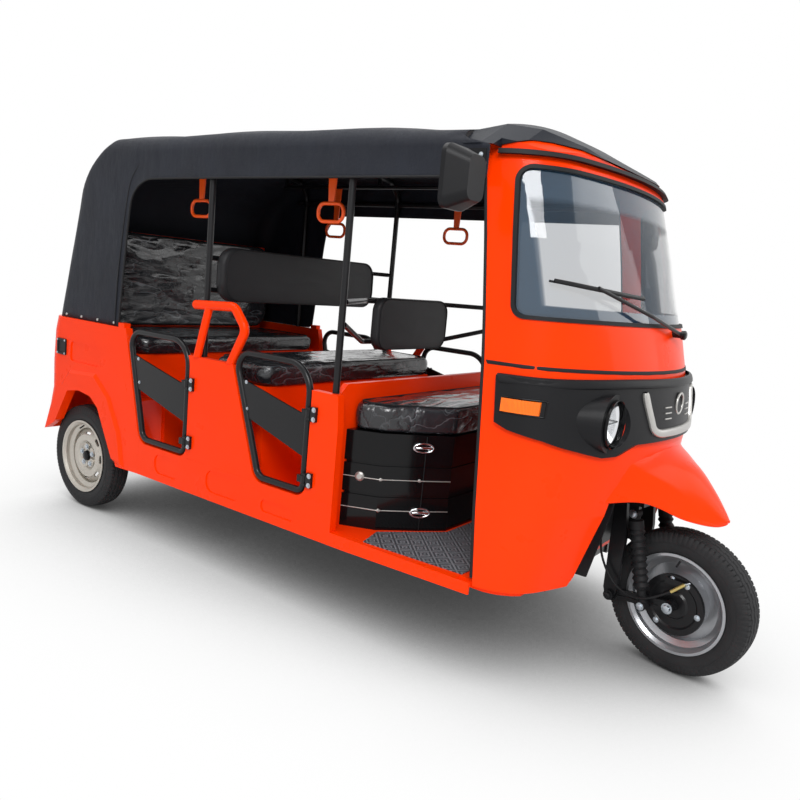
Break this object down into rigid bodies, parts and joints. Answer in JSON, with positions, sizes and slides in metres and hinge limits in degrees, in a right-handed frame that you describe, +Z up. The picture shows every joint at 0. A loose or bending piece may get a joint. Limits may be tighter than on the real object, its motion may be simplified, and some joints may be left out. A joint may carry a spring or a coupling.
{
  "type": "auto rickshaw",
  "caption": "Passenger auto rickshaw with a steered front wheel, hinged tube doors, film-wrapped bench seats and a canvas roof on tube bows.",
  "frame": {"origin": "on the ground under the middle of the vehicle's length", "axes": "+X to the vehicle's left, +Y to its rear, +Z up"},
  "size_m": [1.656, 3.1991, 1.8019],
  "materials": {
    "paint": "gloss enamel",
    "black_metal": "satin black enamel",
    "rim_silver": "silver enamel",
    "rim_beige": "beige-silver enamel",
    "fork_steel": "black enamel",
    "chrome": "satin chrome plate",
    "orange_plastic": "semi-gloss",
    "mat": "patterned mat",
    "rubber": "matt",
    "tyre": "matt",
    "black_plastic": "fine grain",
    "grey_plastic": "fine grain",
    "canvas": "coated canvas",
    "vinyl": "vinyl under clear film",
    "glass": "clear",
    "lamp_clear": "clear lens",
    "lamp_amber": "amber lens",
    "lamp_red": "red lens"
  },
  "bodies": {
    "body": {"front_cowl": "paint", "front_fender": "paint", "nose_fascia": "black_plastic", "nose_emblem": "chrome", "headlamps": "lamp_clear", "turn_signals": "lamp_amber", "windshield_seal": "rubber", "windshield_glass": "glass", "wiper": "black_metal", "wheel_housing": "black_metal", "dashboard": "black_plastic", "mirrors": "black_plastic", "roof_cap": "black_plastic", "cab_roof": "paint", "roof_gutter": "rubber", "canopy": "canvas", "roof_frame": "black_metal", "grab_handles": "orange_plastic", "side_panel_left": "paint", "side_panel_right": "paint", "rear_quarter_left": "paint", "rear_quarter_right": "paint", "tail_panel": "paint", "tail_lamps": "lamp_red", "floor_pan": "paint", "partition": "paint", "chassis_frame": "black_metal", "rear_axle": "black_metal", "leaf_springs": "black_metal", "hinge_brackets": "black_metal", "floor_mats": "mat", "arm_hoops": "paint", "driver_seat_box": "black_plastic", "battery_pack": "grey_plastic", "driver_cushion": "vinyl", "driver_back_pad": "vinyl", "back_frames": "black_metal", "middle_seat_base": "paint", "middle_cushion": "vinyl", "middle_back_pad": "vinyl", "rear_seat_base": "paint", "rear_cushion": "vinyl", "rear_back_pad": "vinyl"},
    "steering": {"front_fork": "fork_steel", "front_links": "fork_steel", "front_dampers": "rubber", "brake_plate": "black_metal", "brake_cable": "rubber", "handlebar": "black_metal"},
    "front_wheel": {"front_tyre": "tyre", "front_rim": "rim_silver"},
    "rear_wheel_left": {"rear_tyre_left": "tyre", "rear_rim_left": "rim_beige"},
    "rear_wheel_right": {"rear_tyre_right": "tyre", "rear_rim_right": "rim_beige"},
    "door_front_left": {"door_front_left": "black_metal"},
    "door_front_right": {"door_front_right": "black_metal"},
    "door_rear_left": {"door_rear_left": "black_metal"},
    "door_rear_right": {"door_rear_right": "black_metal"}
  },
  "joints": [
    {"name": "steering", "type": "hinge", "parent": "body", "child": "steering", "pos_m": [0, -1.223, 0.56], "axis": [0, 0.342, 0.9397], "range_deg": [-27, 47]},
    {"name": "front_wheel_spin", "type": "hinge", "parent": "steering", "child": "front_wheel", "pos_m": [-0.00262, -1.35278, 0.24692], "axis": [0.9848, -0.1632, 0.0594], "continuous": true},
    {"name": "rear_wheel_spin_left", "type": "hinge", "parent": "body", "child": "rear_wheel_left", "pos_m": [0.533, 1.317, 0.247], "axis": [1, 0, 0], "continuous": true},
    {"name": "rear_wheel_spin_right", "type": "hinge", "parent": "body", "child": "rear_wheel_right", "pos_m": [-0.533, 1.317, 0.247], "axis": [1, 0, 0], "continuous": true},
    {"name": "door_hinge_front_left", "type": "hinge", "parent": "body", "child": "door_front_left", "pos_m": [0.636, -0.179, 0.6], "axis": [0, 0, -1], "range_deg": [0, 95]},
    {"name": "door_hinge_front_right", "type": "hinge", "parent": "body", "child": "door_front_right", "pos_m": [-0.636, -0.179, 0.6], "axis": [0, 0, 1], "range_deg": [0, 95]},
    {"name": "door_hinge_rear_left", "type": "hinge", "parent": "body", "child": "door_rear_left", "pos_m": [0.636, 0.492, 0.6], "axis": [0, 0, -1], "range_deg": [0, 95]},
    {"name": "door_hinge_rear_right", "type": "hinge", "parent": "body", "child": "door_rear_right", "pos_m": [-0.636, 0.492, 0.6], "axis": [0, 0, 1], "range_deg": [0, 95]}
  ]
}
